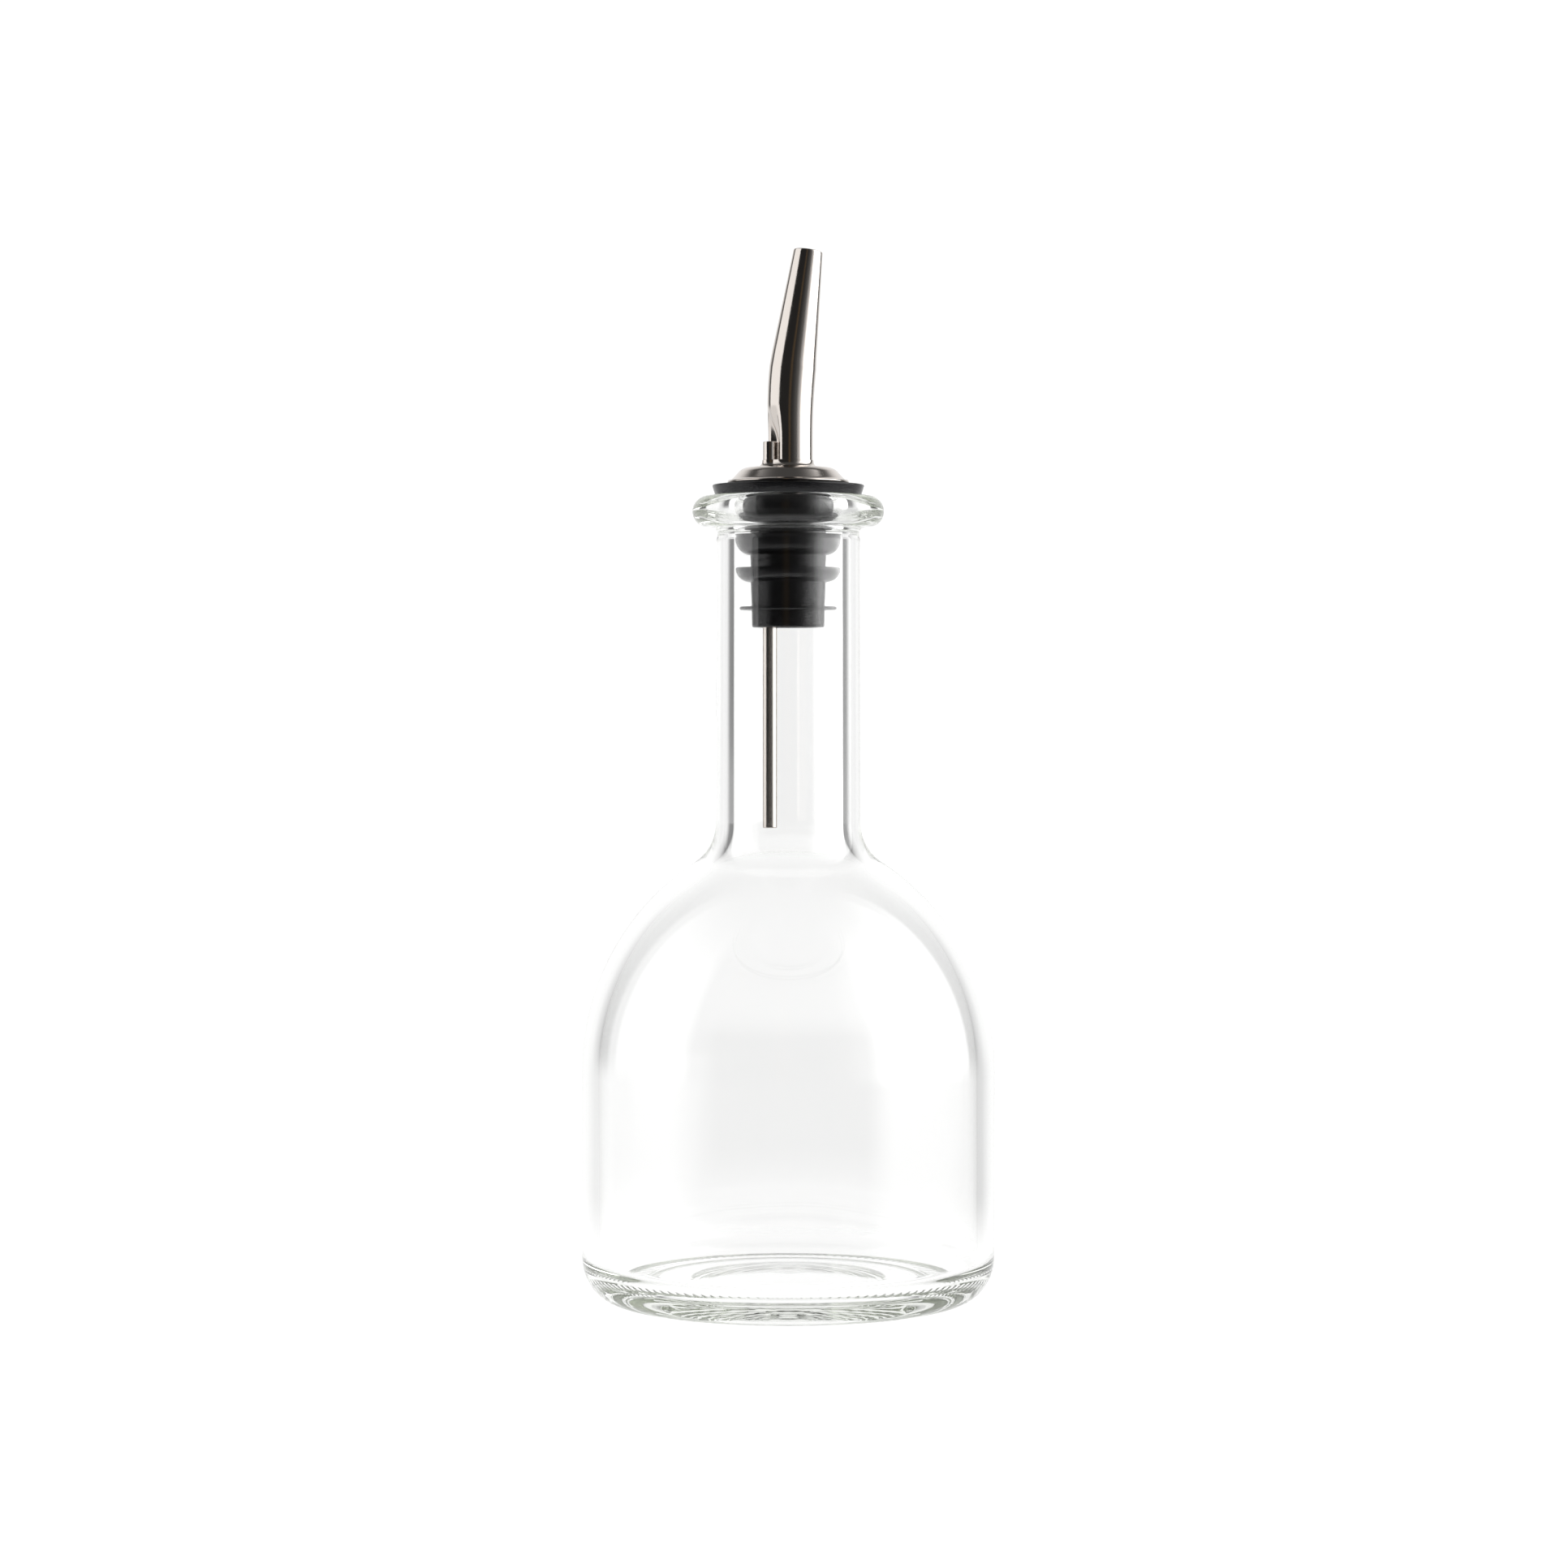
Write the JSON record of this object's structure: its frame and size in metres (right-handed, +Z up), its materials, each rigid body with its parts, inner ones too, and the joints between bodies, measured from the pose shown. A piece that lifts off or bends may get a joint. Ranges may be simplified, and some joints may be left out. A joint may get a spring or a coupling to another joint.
{
  "type": "oil bottle with pourer",
  "caption": "Clear glass oil bottle with a domed body, long neck and ringed lip, closed by a finned rubber stopper that carries a bent steel pouring spout and a breather tube.",
  "frame": {"origin": "centre of the bottle's bearing ring, on the surface it stands on", "axes": "+Z up along the bottle's axis; +X the way the spout leans; the breather tube is on the -X side"},
  "size_m": [0.0764, 0.0764, 0.1943],
  "materials": {
    "clear_glass": "clear fire-polished soda-lime glass",
    "black_rubber": "satin moulded rubber",
    "stainless": "polished stainless steel"
  },
  "bodies": {
    "bottle": {"glass_bottle": "clear_glass"},
    "stopper": {"stopper": "black_rubber"},
    "pourer_metal": {"collar_cap": "stainless", "spout": "stainless", "breather_tube": "stainless"}
  },
  "joints": [
    {"name": "pourer_lift", "type": "slide", "parent": "bottle", "child": "stopper", "axis": [0, 0, 1], "range_m": [0, 0.07]},
    {"name": "pourer_turn", "type": "hinge", "parent": "stopper", "child": "pourer_metal", "pos_m": [0, 0, 0.15], "axis": [0, 0, 1], "continuous": true}
  ]
}
